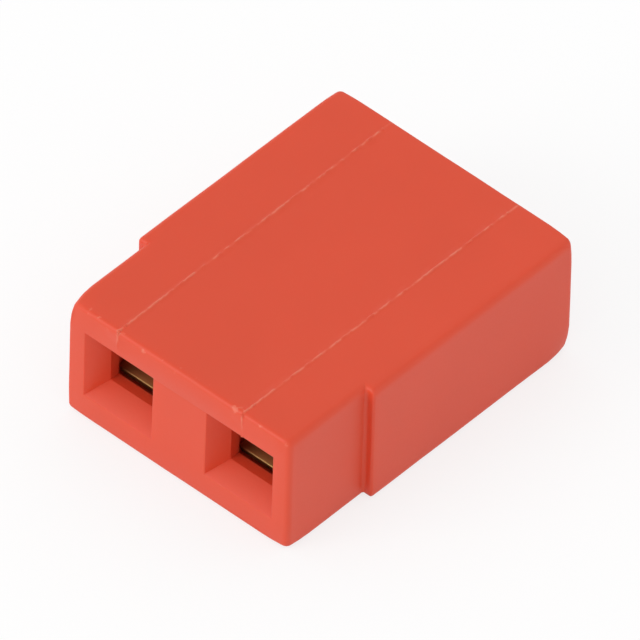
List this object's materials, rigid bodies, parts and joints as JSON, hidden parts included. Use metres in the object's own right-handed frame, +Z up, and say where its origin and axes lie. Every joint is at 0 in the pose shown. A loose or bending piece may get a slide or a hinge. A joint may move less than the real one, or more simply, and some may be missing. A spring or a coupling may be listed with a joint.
{
  "type": "jumper shunt",
  "caption": "Closed jumper shunt for square header pins: a red moulded housing with funnelled sockets and a narrower nose, around a folded gold-plated spring contact.",
  "frame": {"origin": "centre of the bounding box's underside, with the shunt lying on its lower broad face", "axes": "+X across the two pins, +Y from the pin entry face to the rear face, +Z up through the two broad faces"},
  "size_m": [0.005, 0.0064, 0.0024],
  "materials": {
    "housing_plastic": "satin moulded, faintly translucent red",
    "contact_metal": "gold flash over phosphor bronze, rolled grain"
  },
  "bodies": {
    "root": {"housing": "housing_plastic", "contact": "contact_metal"}
  },
  "joints": []
}
